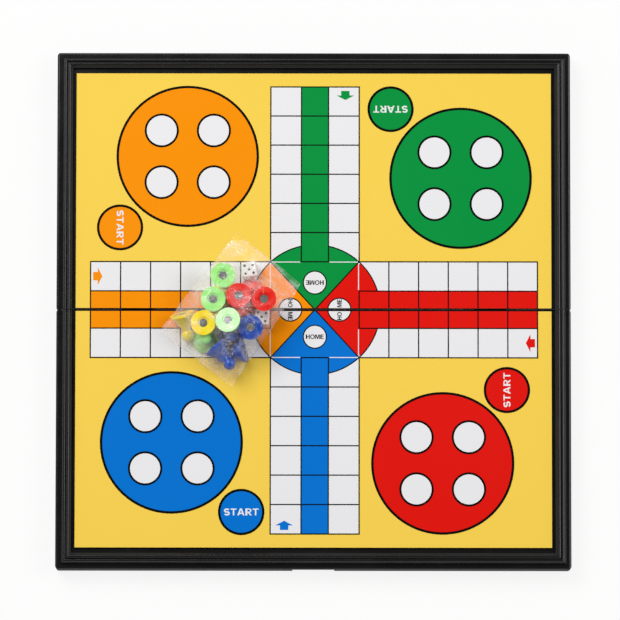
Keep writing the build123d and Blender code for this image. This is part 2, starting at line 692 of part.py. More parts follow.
def pawn():
    """Flared pawn with a ball head, standing on its base at the origin."""
    head_centre = PAWN_HEIGHT - PAWN_HEAD_RADIUS
    neck_height = head_centre - math.sqrt(PAWN_HEAD_RADIUS ** 2 - PAWN_NECK_RADIUS ** 2)
    rim = (PAWN_BASE_RADIUS, PAWN_RIM)
    neck = (PAWN_NECK_RADIUS, neck_height)
    outline = [
        Line((0, 0), (PAWN_BASE_RADIUS, 0)),
        Line((PAWN_BASE_RADIUS, 0), rim),
        ThreePointArc(rim, (PAWN_FLARE_RADIUS, PAWN_FLARE_HEIGHT), neck),
        ThreePointArc(neck, (PAWN_HEAD_RADIUS, head_centre), (0, PAWN_HEIGHT)),
        Line((0, PAWN_HEIGHT), (0, 0)),
    ]
    body = revolve(Plane.XZ * make_face(outline), Axis.Z)
    body -= drilled(BASE_RECESS_RADIUS, BASE_RECESS_DEPTH)
    return body - drilled(MAGNET_RADIUS + MAGNET_SEAT, MAGNET_TOP + MAGNET_SEAT)


def drilled(radius, depth):
    """A round hole up from the base."""
    return Pos(0, 0, depth / 2) * Cylinder(radius, depth)


def magnet():
    """Magnet disc in the base, a little below its face."""
    return Pos(0, 0, MAGNET_TOP - MAGNET_THICKNESS / 2) * Cylinder(MAGNET_RADIUS, MAGNET_THICKNESS)


FLOOR = BAG_BOTTOM + FILM + HEAP_GAP             # the heap stands on the film
PITCH = 2 * PAWN_BASE_RADIUS + PAWN_PLAY
ROW = PITCH * math.sqrt(3) / 2


def in_heap(along, across):
    """A place in the heap: pitches along a row, and rows across."""
    turn = math.radians(HEAP_TURN)
    x = HEAP_X + along * PITCH * math.cos(turn) + across * ROW * math.sin(turn)
    y = HEAP_Y + along * PITCH * math.sin(turn) - across * ROW * math.cos(turn)
    return x, y


def standing(along, across):
    """Pose of a pawn on its base."""
    x, y = in_heap(along, across)
    return Pos(x, y, FLOOR)


def on_its_head(along, across):
    """Pose of a pawn turned over into the hollow between three standing ones."""
    x, y = in_heap(along, across)
    return Pos(x, y, FLOOR + HEAD_DOWN_LIFT + PAWN_HEIGHT) * Rot(180, 0, 0)


def fallen(along, across, heading, height=ON_SIDE_HEIGHT, dip=ON_SIDE_DIP):
    """Pose of a pawn on its side: its head points along a heading, and down by a dip."""
    x, y = in_heap(along, across)
    return Pos(x, y, FLOOR + height) * Rot(0, 0, heading) * Rot(0, 90 + dip, 0)


# Standing pawns fill the places a third of a row on from the ones on their heads.
THIRD = 1 / 3
HEAP = {
    "green": [on_its_head(1, 0), on_its_head(0, 0), fallen(-0.55, 0.97, -30, TOPMOST_HEIGHT, 75),
              standing(-1.5, THIRD)],
    "yellow": [on_its_head(-1, 0), fallen(-0.9, -1.08, -75), standing(-0.5, THIRD),
               standing(0.5, THIRD)],
    "red": [on_its_head(0.5, 1), on_its_head(0.75, 2.1), standing(0.98, 1.4),
            standing(0, 1 + THIRD)],
    "blue": [on_its_head(-0.47, 2.03), fallen(-1.63, 0.86, -50, LEANING_HEIGHT, 0),
             standing(-1, 1 + THIRD), fallen(-1.32, 2.1, -165)],
}
PAWN_COLOURS = {
    "green": (0.1, 0.65, 0.1),
    "yellow": (0.95, 0.75, 0.0),
    "red": (0.75, 0.02, 0.02),
    "blue": (0.01, 0.06, 0.5),
}

for colour, poses in HEAP.items():
    for number, pose in enumerate(poses, 1):
        save(pose * pawn(), f"{colour}_pawn_{number}", PAWN_COLOURS[colour])
    save(Compound(children=[pose * magnet() for pose in poses]), f"{colour}_magnets", STEEL)

PIPS = {
    1: [(0, 0)],
    2: [(-1, -1), (1, 1)],
    3: [(-1, -1), (0, 0), (1, 1)],
    4: [(-1, -1), (-1, 1), (1, -1), (1, 1)],
    5: [(-1, -1), (-1, 1), (0, 0), (1, -1), (1, 1)],
    6: [(-1, -1), (-1, 0), (-1, 1), (1, -1), (1, 0), (1, 1)],
}
# Opposite faces add up to seven.
FACES = {
    1: Rot(0, 0, 0),
    6: Rot(180, 0, 0),
    2: Rot(90, 0, 0),
    5: Rot(-90, 0, 0),
    3: Rot(0, 90, 0),
    4: Rot(0, -90, 0),
}


def pip_discs(bottom, top):
    """Discs at every pip, between two depths below the faces."""
    height = bottom - top
    discs = []
    for number, turn in FACES.items():
        for a, b in PIPS[number]:
            place = Pos(a * PIP_PITCH, b * PIP_PITCH, DIE_SIZE / 2 - top - height / 2)
            discs.append(turn * place * Cylinder(PIP_RADIUS, height))
    return discs


def die():
    cube = Box(DIE_SIZE, DIE_SIZE, DIE_SIZE)
    cube = fillet(cube.edges(), DIE_EDGE)
    for hole in pip_discs(PIP_DEPTH, -PIP_DEPTH):
        cube -= hole
    return cube


def on_floor(along, across, turn, roll):
    """Pose of a die in the bag: turned about Z, after rolling a face to the top."""
    x, y = in_heap(along, across)
    return Pos(x, y, FLOOR + DIE_SIZE / 2) * Rot(0, 0, turn) * roll


DICE = [
    on_floor(0.14, 2.27, -5, Rot(90, 0, 0)),
    on_floor(1.67, 0.94, 7, Rot(90, 0, 0)),
]
for number, pose in enumerate(DICE, 1):
    save(pose * die(), f"die_{number}", WHITE)
    paint = [pose * disc for disc in pip_discs(PIP_DEPTH, PIP_DEPTH - PIP_PAINT)]
    save(Compound(children=paint), f"die_{number}_pips", BLACK)


# ================================================================ polybag
PAWNS = [pose for poses in HEAP.values() for pose in poses]


def heap_reach(way):
    """How far the heap reaches in a direction, given as a unit vector."""
    half = DIE_SIZE / 2
    reach = []
    for pose in PAWNS:
        lean = (pose * Pos(0, 0, 1)).position - pose.position
        across = math.sqrt(max(0, 1 - lean.dot(way) ** 2))
        for height in (0, PAWN_RIM):
            rim = pose * Pos(0, 0, height)
            reach.append(rim.position.dot(way) + PAWN_BASE_RADIUS * across)
        head = pose * Pos(0, 0, PAWN_HEIGHT - PAWN_HEAD_RADIUS)
        reach.append(head.position.dot(way) + PAWN_HEAD_RADIUS)
    for pose in DICE:
        for x in (-half, half):
            for y in (-half, half):
                for z in (-half, half):
                    reach.append((pose * Pos(x, y, z)).position.dot(way))
    return max(reach)


def facing_way(azimuth, elevation):
    a, e = math.radians(azimuth), math.radians(elevation)
    return Vector(math.cos(e) * math.cos(a), math.cos(e) * math.sin(a), math.sin(e))


def trimmed(body, facets, skin):
    """A body cut back to the facets, each a direction and its clearance from the heap."""
    for way, clear in facets:
        plane = Plane(origin=way * (heap_reach(way) + clear + FILM - skin), z_dir=way)
        body = split(body, bisect_by=plane, keep=Keep.BOTTOM)
    return body


def bag(skin):
    """The bag, drawn in round the heap and flat where it is empty, set in by a skin."""
    everywhere = ((-HALF_WIDTH, HALF_WIDTH), (-HALF_DEPTH, HALF_DEPTH))
    bottom = BAG_BOTTOM + skin
    edges = [(facing_way(azimuth, 0), film) for azimuth, film in BAG_EDGES]
    facets = [(Vector(*UP), BAG_SLACK)]
    for elevation in BAG_SLOPES:
        for i in range(BAG_SLOPE_COUNT):
            facets.append((facing_way(i * 360 / BAG_SLOPE_COUNT, elevation), BAG_SLACK))
    full = block(*everywhere, (bottom, bottom + 2 * HALF_WIDTH))
    flat = block(*everywhere, (bottom, BAG_BOTTOM + BAG_FLAT - skin))
    return trimmed(full, edges + facets, skin) + trimmed(flat, edges, skin)


save(bag(0) - bag(FILM), "polybag", (0.9, 0.95, 0.98))
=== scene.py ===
import math

import bpy
import bmesh
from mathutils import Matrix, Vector, noise
from mathutils.bvhtree import BVHTree


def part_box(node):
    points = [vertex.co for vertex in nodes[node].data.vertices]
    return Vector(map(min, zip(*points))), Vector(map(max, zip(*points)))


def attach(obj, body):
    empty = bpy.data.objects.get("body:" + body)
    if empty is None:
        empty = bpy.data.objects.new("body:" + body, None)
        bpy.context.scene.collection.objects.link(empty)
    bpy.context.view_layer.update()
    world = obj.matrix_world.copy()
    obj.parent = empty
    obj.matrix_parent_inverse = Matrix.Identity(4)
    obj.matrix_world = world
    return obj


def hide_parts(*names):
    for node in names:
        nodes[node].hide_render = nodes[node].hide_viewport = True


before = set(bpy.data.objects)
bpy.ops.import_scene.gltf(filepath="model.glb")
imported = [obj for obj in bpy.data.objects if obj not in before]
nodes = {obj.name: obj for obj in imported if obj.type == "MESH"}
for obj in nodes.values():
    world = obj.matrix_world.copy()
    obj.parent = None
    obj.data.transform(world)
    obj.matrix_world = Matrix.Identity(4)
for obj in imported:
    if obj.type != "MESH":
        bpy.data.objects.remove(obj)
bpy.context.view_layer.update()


# ---------------------------------------------------------------- case halves
# Two black trays moulded in high-impact polystyrene, open underneath. Two rounded beads
# run round the three outer sides of each. The face has a fine mould grain, and only the
# tops of the beads are polished.
def shader(name, base_colour, roughness, specular):
    """A new Principled material, with its plain constants."""
    material = bpy.data.materials.new(name)
    material.use_nodes = True
    principled = material.node_tree.nodes["Principled BSDF"]
    principled.inputs["Base Color"].default_value = (*base_colour, 1)
    principled.inputs["Roughness"].default_value = roughness
    principled.inputs["Specular IOR Level"].default_value = specular
    return material, principled


def effect_group(name, inputs, outputs):
    """An empty node group with float or colour sockets, given as name: default."""
    group = bpy.data.node_groups.new(name, "ShaderNodeTree")
    for label, default in inputs.items():
        kind = "NodeSocketFloat" if isinstance(default, float) else "NodeSocketColor"
        socket = group.interface.new_socket(label, in_out="INPUT", socket_type=kind)
        socket.default_value = default if isinstance(default, float) else (*default, 1)
    for label, kind in outputs.items():
        group.interface.new_socket(label, in_out="OUTPUT", socket_type=kind)
    return group, group.nodes.new("NodeGroupInput"), group.nodes.new("NodeGroupOutput")


def math_node(tree, operation, *values, clamp=False):
    """One operation on values that are sockets or numbers."""
    node = tree.nodes.new("ShaderNodeMath")
    node.operation = operation
    node.use_clamp = clamp
    for place, value in zip(node.inputs, values):
        if isinstance(value, float):
            place.default_value = value
        else:
            tree.links.new(value, place)
    return node.outputs[0]


def noise_node(tree, scale_from, detail, scale=1.0, distortion=0.0):
    """Noise on Object coordinates, whose scale is a socket times a number."""
    place = tree.nodes.new("ShaderNodeTexCoord")
    texture = tree.nodes.new("ShaderNodeTexNoise")
    texture.inputs["Detail"].default_value = detail
    texture.inputs["Distortion"].default_value = distortion
    tree.links.new(math_node(tree, "MULTIPLY", scale_from, scale), texture.inputs["Scale"])
    tree.links.new(place.outputs["Object"], texture.inputs["Vector"])
    return texture.outputs["Fac"]


def range_node(tree, value, low, high, from_low=0.3, from_high=0.7):
    """Maps a value onto a range whose ends are sockets or numbers."""
    mapped = tree.nodes.new("ShaderNodeMapRange")
    tree.links.new(value, mapped.inputs["Value"])
    mapped.inputs["From Min"].default_value = from_low
    mapped.inputs["From Max"].default_value = from_high
    for label, end in (("To Min", low), ("To Max", high)):
        if isinstance(end, float):
            mapped.inputs[label].default_value = end
        else:
            tree.links.new(end, mapped.inputs[label])
    return mapped.outputs["Result"]


def mix_colours(tree, share, first, second):
    """The first colour, turned into the second by a share."""
    mix = tree.nodes.new("ShaderNodeMix")
    mix.data_type = "RGBA"
    tree.links.new(share, mix.inputs["Factor"])
    tree.links.new(first, mix.inputs["A"])
    tree.links.new(second, mix.inputs["B"])
    return mix.outputs["Result"]


def bump_node(tree, height, strength, depth):
    """Fine relief: its full depth is in metres, and its strength a share of that."""
    bump = tree.nodes.new("ShaderNodeBump")
    bump.inputs["Distance"].default_value = depth
    tree.links.new(strength, bump.inputs["Strength"])
    tree.links.new(height, bump.inputs["Height"])
    return bump.outputs["Normal"]


def place_group(tree, group, settings):
    """Puts a group into a material, with its settings by name."""
    surface = tree.nodes.new("ShaderNodeGroup")
    surface.node_tree = group
    for label, value in settings.items():
        surface.inputs[label].default_value = value if isinstance(value, float) else (*value, 1)
    return surface


def join_up(tree, surface, principled):
    """Gives a Principled shader the colour, roughness and normal of a group."""
    tree.links.new(surface.outputs["Colour"], principled.inputs["Base Color"])
    tree.links.new(surface.outputs["Roughness"], principled.inputs["Roughness"])
    tree.links.new(surface.outputs["Normal"], principled.inputs["Normal"])


GRAIN_DEPTH = 0.00002


def moulded_surface():
    """Moulded plastic: cloudy flow marks in the colour, uneven gloss and a fine grain."""
    group, given, result = effect_group(
        "moulded_surface",
        {"Colour": (0.5, 0.5, 0.5), "Flow Colour": (0.5, 0.5, 0.5), "Flow Scale": 40.0,
         "Grain Scale": 2500.0, "Grain Height": 0.1, "Low Gloss": 0.5, "High Gloss": 0.3},
        {"Colour": "NodeSocketColor", "Roughness": "NodeSocketFloat",
         "Normal": "NodeSocketVector"},
    )
    flow = noise_node(group, given.outputs["Flow Scale"], detail=3.0)
    share = range_node(group, flow, 0.0, 1.0)
    colour = mix_colours(group, share, given.outputs["Colour"], given.outputs["Flow Colour"])
    smudge = noise_node(group, given.outputs["Flow Scale"], detail=5.0, scale=2.7)
    gloss = range_node(group, smudge, given.outputs["High Gloss"], given.outputs["Low Gloss"])
    grain = noise_node(group, given.outputs["Grain Scale"], detail=2.0)
    normal = bump_node(group, grain, given.outputs["Grain Height"], GRAIN_DEPTH)
    group.links.new(colour, result.inputs["Colour"])
    group.links.new(gloss, result.inputs["Roughness"])
    group.links.new(normal, result.inputs["Normal"])
    return group


MOULDED = moulded_surface()


def moulded(name, colour, flow_colour, gloss, specular, flow_scale=40.0, grain=(2500.0, 0.1)):
    """A moulded plastic: gloss is its lowest and highest roughness, grain a scale and height."""
    material, principled = shader(name, colour, gloss[1], specular)
    tree = material.node_tree
    surface = place_group(tree, MOULDED, {
        "Colour": colour, "Flow Colour": flow_colour, "Flow Scale": flow_scale,
        "Grain Scale": grain[0], "Grain Height": grain[1],
        "High Gloss": gloss[0], "Low Gloss": gloss[1],
    })
    join_up(tree, surface, principled)
    return material, principled


def finish_with(material, *names):
    """Gives CAD pieces a material."""
    for name in names:
        for place in nodes[name].material_slots:
            place.material = material


LEDGE_TOP = 0.0134               # low outer ledge of the frame, above the table
PAST_LEDGE = 0.0005              # the polish reaches this far down past the ledge
POLISH_FADE = 0.0008             # and fades out over this much below that
DULL_ROUGHNESS = 0.80


def dull_below(principled, height, roughness):
    """Leaves a moulding dull below a height, where only the top was polished."""
    tree = principled.id_data
    place = tree.nodes.new("ShaderNodeTexCoord")
    split = tree.nodes.new("ShaderNodeSeparateXYZ")
    tree.links.new(place.outputs["Object"], split.inputs[0])
    polished = principled.inputs["Roughness"].links[0].from_socket
    faded = range_node(tree, split.outputs["Z"], roughness, polished,
                       from_low=height - POLISH_FADE, from_high=height)
    tree.links.new(faded, principled.inputs["Roughness"])


CASE_BLACK, principled = moulded(
    "black_moulding", (0.0060, 0.0060, 0.0062), (0.0085, 0.0085, 0.0088),
    gloss=(0.19, 0.27), specular=0.45, flow_scale=22.0, grain=(1800.0, 0.25),
)
dull_below(principled, LEDGE_TOP - PAST_LEDGE, DULL_ROUGHNESS)
finish_with(CASE_BLACK, "rear_case", "front_case")


# ---------------------------------------------------------------- printed plates
# A thin steel plate in each half, so that the magnets hold, screen-printed over a yellow
# ground coat. Each ink is a flat, faintly uneven film with a soft sheen, and the black
# lines lie on top of the colours.
CLOUD_SCALE = 14.0
SPECKS_PER_CLOUD = 260.0
PEEL_PER_CLOUD = 60.0
PEEL_DEPTH = 0.00003


def printed_surface():
    """Screen ink: faint cloudiness, pinholes of the mesh and a soft orange peel."""
    group, given, result = effect_group(
        "printed_surface",
        {"Ink": (0.5, 0.5, 0.5), "Thin Ink": (0.5, 0.5, 0.5), "Low Gloss": 0.5, "High Gloss": 0.4,
         "Peel Height": 0.05},
        {"Colour": "NodeSocketColor", "Roughness": "NodeSocketFloat",
         "Normal": "NodeSocketVector"},
    )
    cloud_scale = group.nodes.new("ShaderNodeValue").outputs[0]
    cloud_scale.default_value = CLOUD_SCALE
    cloud = noise_node(group, cloud_scale, detail=4.0)
    cloudy = range_node(group, cloud, 0.2, 1.0)
    speck = noise_node(group, cloud_scale, detail=2.0, scale=SPECKS_PER_CLOUD)
    specked = range_node(group, speck, 0.0, 1.0, from_low=0.45, from_high=0.75)
    thin = math_node(group, "MULTIPLY", cloudy, specked)
    colour = mix_colours(group, thin, given.outputs["Ink"], given.outputs["Thin Ink"])
    gloss = range_node(group, cloud, given.outputs["High Gloss"], given.outputs["Low Gloss"])
    peel = noise_node(group, cloud_scale, detail=3.0, scale=PEEL_PER_CLOUD)
    normal = bump_node(group, peel, given.outputs["Peel Height"], PEEL_DEPTH)
    group.links.new(colour, result.inputs["Colour"])
    group.links.new(gloss, result.inputs["Roughness"])
    group.links.new(normal, result.inputs["Normal"])
    return group


PRINTED = printed_surface()
THIN_INK_LIFT = 0.002            # what shows through any ink where its film is thin


def ink(name, colour, thinner=1.06, gloss=(0.22, 0.30), specular=0.13):
    """An ink: where its film is thin, the colour is lighter by a factor."""
    material, principled = shader(name, colour, gloss[1], specular)
    tree = material.node_tree
    thin = tuple(min(1.0, channel * thinner + THIN_INK_LIFT) for channel in colour)
    surface = place_group(tree, PRINTED, {
        "Ink": colour, "Thin Ink": thin, "High Gloss": gloss[0], "Low Gloss": gloss[1],
    })
    join_up(tree, surface, principled)
    return material


GROUND_YELLOW = ink("yellow_ground", (0.930, 0.640, 0.086), thinner=1.03)
finish_with(GROUND_YELLOW, "rear_plate", "front_plate")
INKS = {
    "white": ink("white_ink", (0.830, 0.820, 0.835), thinner=1.03),
    "black": ink("black_ink", (0.003, 0.003, 0.003), thinner=1.5),
    "orange": ink("orange_ink", (0.935, 0.285, 0.002)),
    "green": ink("green_ink", (0.003, 0.285, 0.050)),
    "red": ink("red_ink", (0.745, 0.009, 0.005)),
    "blue": ink("blue_ink", (0.002, 0.170, 0.630)),
}
for half, missing in (("rear", "blue"), ("front", "green")):
    for colour in INKS:
        if colour != missing:
            finish_with(INKS[colour], f"{half}_print_{colour}")

TAPE, _ = moulded(
    "tape_foam", (0.55, 0.50, 0.34), (0.48, 0.43, 0.28), gloss=(0.6, 0.8), specular=0.3
)
finish_with(TAPE, "rear_tape", "front_tape")

# ---------------------------------------------------------------- words on the print
# START runs round the four small discs and HOME stands on the four middle ones, each word
# facing its own side of the board. They are printed last, one ink film thick. The two side
# discs lie across the fold, so their letters part there and stay with their own half.
INK_FILM = 0.00005
START_WIDTH = 0.0215
START_CAPS = 0.0043
HOME_WIDTH = 0.0111
HOME_CAPS = 0.0028
HOME_HALF_WIDTH = 0.0051         # each part of a word that the fold parts
PARTED_AT = 0.0040               # from the fold to the middle of such a part
TRACK_CENTRE_X = 0.0008          # home square's middle, right of the board's
HOME_DISC_Y = 0.01695            # discs before and behind the fold, from the middle
HOME_DISC_X = 0.0153             # discs on the fold, from the middle
MERGE_WITHIN = 0.000001
ink_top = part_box("rear_print_white")[1].z
first_pass = ink_top - INK_FILM


def select_only(piece):
    bpy.ops.object.select_all(action="DESELECT")
    piece.select_set(True)
    bpy.context.view_layer.objects.active = piece


def arc(x, y, wide, tall, start, end, steps=10):
    """Points on part of an ellipse, between two angles in degrees."""
    angles = [math.radians(start + (end - start) * i / steps) for i in range(steps + 1)]
    return [(x + wide * math.cos(a), y + tall * math.sin(a)) for a in angles]


def ellipse(x, y, wide, tall, points):
    """A closed outline with so many points."""
    return arc(x, y, wide, tall, 0, 360 - 360 / points, points - 1)


def bold_stroke(path, weight):
    """Outline of a stroke that follows a path."""
    points = [Vector(point) for point in path]
    left, right = [], []
    for i, point in enumerate(points):
        along = points[min(i + 1, len(points) - 1)] - points[max(i - 1, 0)]
        aside = Vector((-along.y, along.x)).normalized() * weight / 2
        left.append(tuple(point + aside))
        right.append(tuple(point - aside))
    return left + right[::-1]


BAR = 0.27                       # weight of a stroke, in cap heights
CURVED_BAR = 0.8 * BAR           # an S of full weight would close up
LETTER_GAP = 0.10
LETTERS = {                      # width, then outlines: the first is the face, others are holes
    "A": (0.98, [[(0, 0), (0.22, 0), (0.30, 0.21), (0.68, 0.21), (0.76, 0), (0.98, 0), (0.62, 1),
                  (0.36, 1)], [(0.36, 0.38), (0.62, 0.38), (0.49, 0.76)]]),
    "E": (0.74, [[(0, 0), (0.74, 0), (0.74, 0.17), (BAR, 0.17), (BAR, 0.43), (0.68, 0.43),
                  (0.68, 0.59), (BAR, 0.59), (BAR, 0.83), (0.72, 0.83), (0.72, 1), (0, 1)]]),
    "H": (0.82, [[(0, 0), (BAR, 0), (BAR, 0.42), (0.62, 0.42), (0.62, 0), (0.82, 0), (0.82, 1),
                  (0.62, 1), (0.62, 0.59), (BAR, 0.59), (BAR, 1), (0, 1)]]),
    "M": (0.98, [[(0, 0), (0.18, 0), (0.18, 0.74), (0.41, 0), (0.57, 0), (0.80, 0.74), (0.80, 0),
                  (0.98, 0), (0.98, 1), (0.70, 1), (0.49, 0.32), (0.28, 1), (0, 1)]]),
    "O": (0.98, [ellipse(0.49, 0.5, 0.49, 0.52, 24), ellipse(0.49, 0.5, 0.29, 0.35, 24)]),
    "R": (0.88, [[(0, 0), (BAR, 0), (BAR, 0.39), (0.34, 0.39), (0.64, 0), (0.88, 0),
                  (0.58, 0.42)] + arc(0.52, 0.71, 0.30, 0.29, -60, 90) + [(0, 1)],
                 [(BAR, 0.56)] + arc(0.50, 0.70, 0.12, 0.14, -90, 90) + [(BAR, 0.84)]]),
    "S": (0.80, [bold_stroke(arc(0.40, 0.70, 0.29, 0.21, 25, 270) +
                             arc(0.40, 0.30, 0.30, 0.21, 90, -155)[1:], CURVED_BAR)]),
    "T": (0.78, [[(0.29, 0), (0.49, 0), (0.49, 0.83), (0.78, 0.83), (0.78, 1), (0, 1), (0, 0.83),
                  (0.29, 0.83)]]),
}


def printed(name, outlines):
    """A film of ink as thick as one pass; an outline inside another one is a hole in it."""
    curve = bpy.data.curves.new(name, "CURVE")
    curve.dimensions = "2D"
    curve.fill_mode = "BOTH"
    curve.extrude = INK_FILM / 2
    for outline in outlines:
        spline = curve.splines.new("POLY")
        spline.points.add(len(outline) - 1)
        for point, (x, y) in zip(spline.points, outline):
            point.co = (x, y, 0, 1)
        spline.use_cyclic_u = True
    piece = bpy.data.objects.new(name, curve)
    bpy.context.scene.collection.objects.link(piece)
    select_only(piece)
    bpy.ops.object.convert(target="MESH")
    piece = bpy.context.view_layer.objects.active
    solid = bmesh.new()
    solid.from_mesh(piece.data)
    bmesh.ops.remove_doubles(solid, verts=solid.verts, dist=MERGE_WITHIN)
    bmesh.ops.recalc_face_normals(solid, faces=solid.faces)
    solid.to_mesh(piece.data)
    solid.free()
    return piece


def word(name, letters, width, caps):
    """Bold capitals, centred on the origin and facing up, as wide and as tall as asked."""
    outlines, reach = [], 0.0
    for letter in letters:
        step, shapes = LETTERS[letter]
        outlines.extend([(reach + x, y) for x, y in shape] for shape in shapes)
        reach += step + LETTER_GAP
    across = width / (reach - LETTER_GAP)
    return printed(name, [[(x * across - width / 2, (y - 0.5) * caps) for x, y in outline]
                          for outline in outlines])


def lay_ink(piece, x, y, z, turn, material, body):
    """Lays a print on the board, turned about the upright axis, and fixes it to its half."""
    piece.location = (x, y, z + INK_FILM / 2)
    piece.rotation_euler = (0, 0, math.radians(turn))
    select_only(piece)
    bpy.ops.object.transform_apply(location=True, rotation=True, scale=False)
    piece.data.materials.clear()
    piece.data.materials.append(material)
    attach(piece, body)


START_PLACES = {                 # middle of the word, its turn, and its half of the board
    "orange": (-0.1205, 0.0514, -90, "rear_half"),
    "green": (0.0479, 0.1259, 180, "rear_half"),
    "red": (0.1201, -0.0501, 90, "front_half"),
    "blue": (-0.0447, -0.1262, 0, "front_half"),
}
for colour, (x, y, turn, body) in START_PLACES.items():
    start = word(f"start_word_{colour}", "START", START_WIDTH, START_CAPS)
    lay_ink(start, x, y, first_pass, turn, INKS["white"], body)

for side, y, turn in (("rear", HOME_DISC_Y, 180), ("front", -HOME_DISC_Y, 0)):
    home = word(f"home_word_{side}", "HOME", HOME_WIDTH, HOME_CAPS)
    lay_ink(home, TRACK_CENTRE_X, y, ink_top, turn, INKS["black"], f"{side}_half")

for side, offset, turn in (("left", -HOME_DISC_X, -90), ("right", HOME_DISC_X, 90)):
    for letters, place in (("HO", -1), ("ME", 1)):
        half = place if side == "right" else -place
        body = "rear" if half > 0 else "front"
        home = word(f"home_word_{side}_{body}", letters, HOME_HALF_WIDTH, HOME_CAPS)
        lay_ink(home, TRACK_CENTRE_X + offset, half * PARTED_AT, ink_top, turn, INKS["black"],
                 f"{body}_half")

# ---------------------------------------------------------------- second strike of the print
# The outlines of the sixteen spots are struck again in black, heavier and a little further in.
# The pale edges of the home square are printed over in their colours and drawn again finer.
SPOT_RING = (0.00935, 0.0104)    # inner and outer radius
SPOT_STEP = 0.01625              # from a base's middle, along and across
CIRCLE_POINTS = 96
BASE_INSETS = {                  # its corner, and its middle from the plate's side and outer edges
    "orange": (-1, 1, 0.0694, 0.0522),
    "green": (1, 1, 0.0564, 0.0658),
    "blue": (-1, -1, 0.0598, 0.0654),
    "red": (1, -1, 0.0677, 0.0525),
}
plate_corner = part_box("rear_plate")[1]
for half, colours in (("rear", ("orange", "green")), ("front", ("blue", "red"))):
    circles = []
    for colour in colours:
        side, end, x_inset, y_inset = BASE_INSETS[colour]
        x, y = side * (plate_corner.x - x_inset), end * (plate_corner.y - y_inset)
        circles.extend(
            ellipse(x + i * SPOT_STEP, y + j * SPOT_STEP, radius, radius, CIRCLE_POINTS)
            for i in (-1, 1) for j in (-1, 1) for radius in SPOT_RING
        )
    rings = printed(f"spot_rings_{half}", circles)
    lay_ink(rings, 0, 0, ink_top, 0, INKS["black"], f"{half}_half")

HOME_EDGE_X = 0.02755            # edges of the home square, from its middle
HOME_EDGE_Y = 0.0300
LEVEL_RUN = (0.0092, 0.0262)     # stretch of an edge along X, from the middle of the square
UPRIGHT_RUN = (0.0124, 0.0286)   # and along Y
EDGE_COVER = 0.00134             # width of the colour that hides the broad pale line below it
EDGE_LINE = 0.00055
EDGE_SHIFTS = {                  # a fine line lies this much off the middle of its cover
    "green": -0.0002, "blue": 0.0001, "orange": -0.0002, "red": -0.0004,
}


def rectangle(left, right, low, high):
    """Outline of a stretch that runs along X or Y."""
    return [(left, low), (right, low), (right, high), (left, high)]


def home_edge(colour, end, width, shift):
    """Stretches of one edge of the home square on the rear (1) or front (-1) half."""
    if colour in ("green", "blue"):
        y = end * HOME_EDGE_Y + shift
        near, far = LEVEL_RUN
        return [
            rectangle(TRACK_CENTRE_X + side * near, TRACK_CENTRE_X + side * far,
                      y - width / 2, y + width / 2)
            for side in (-1, 1)
        ]
    x = TRACK_CENTRE_X + (HOME_EDGE_X if colour == "red" else -HOME_EDGE_X) + shift
    near, far = UPRIGHT_RUN
    return [rectangle(x - width / 2, x + width / 2, end * near, end * far)]


for half, end, colours in (("rear", 1, ("green", "orange", "red")),
                           ("front", -1, ("blue", "orange", "red"))):
    fine_lines = []
    for colour in colours:
        cover = printed(f"home_edge_{colour}_{half}", home_edge(colour, end, EDGE_COVER, 0.0))
        lay_ink(cover, 0, 0, ink_top, 0, INKS[colour], f"{half}_half")
        fine_lines.extend(home_edge(colour, end, EDGE_LINE, EDGE_SHIFTS[colour]))
    lines = printed(f"home_edge_lines_{half}", fine_lines)
    lay_ink(lines, 0, 0, ink_top + INK_FILM, 0, INKS["white"], f"{half}_half")

# ---------------------------------------------------------------- fold and clasp
# Two-pin links of acetal join the halves under the fold, on drawn steel pins. The clip in
# the rear wall is the same acetal and turns on a thinner pin.
LINK_BLACK, _ = moulded(
    "acetal_black", (0.012, 0.012, 0.012), (0.018, 0.018, 0.018), gloss=(0.3, 0.42), specular=0.4
)
finish_with(LINK_BLACK, "left_hinge_link", "right_hinge_link", "clasp")


def metal(name, colour, dark, gloss, flow_scale):
    """Plain metal with a clouded surface."""
    material, principled = moulded(
        name, colour, dark, gloss, specular=0.5, flow_scale=flow_scale, grain=(6000.0, 0.15)
    )
    principled.inputs["Metallic"].default_value = 1.0
    return material


PIN_STEEL = metal(
    "pin_steel", (0.62, 0.61, 0.60), (0.50, 0.49, 0.48), gloss=(0.22, 0.38), flow_scale=600.0
)
finish_with(PIN_STEEL, "rear_hinge_pins", "front_hinge_pins", "clasp_pin")

# ---------------------------------------------------------------- pawns
# Sixteen pawns, four to a colour, injection moulded in clear-tinted polystyrene with a
# polished face, and a nickel-plated magnet pressed into each base.
PAWN_COLOURS = {
    "green": ((0.27, 0.80, 0.15), (0.50, 0.90, 0.34)),
    "yellow": ((0.96, 0.66, 0.002), (0.98, 0.82, 0.04)),
    "red": ((0.76, 0.004, 0.003), (0.88, 0.05, 0.03)),
    "blue": ((0.003, 0.040, 0.30), (0.020, 0.10, 0.50)),
}
CLOUDY_SHARE = 0.25              # share of the light that scatters inside the plastic
CLOUDY_DEPTH = 0.003
MAGNET_METAL = metal(
    "magnet_nickel", (0.26, 0.255, 0.25), (0.10, 0.098, 0.096), gloss=(0.36, 0.60),
    flow_scale=900.0,
)
for colour, (deep, light) in PAWN_COLOURS.items():
    plastic, principled = moulded(
        f"{colour}_pawn_plastic", deep, light, gloss=(0.10, 0.20), specular=0.5,
        flow_scale=180.0, grain=(3000.0, 0.04),
    )
    principled.inputs["Subsurface Weight"].default_value = CLOUDY_SHARE
    principled.inputs["Subsurface Scale"].default_value = CLOUDY_DEPTH
    finish_with(plastic, *(f"{colour}_pawn_{number}" for number in range(1, 5)))
    finish_with(MAGNET_METAL, f"{colour}_magnets")

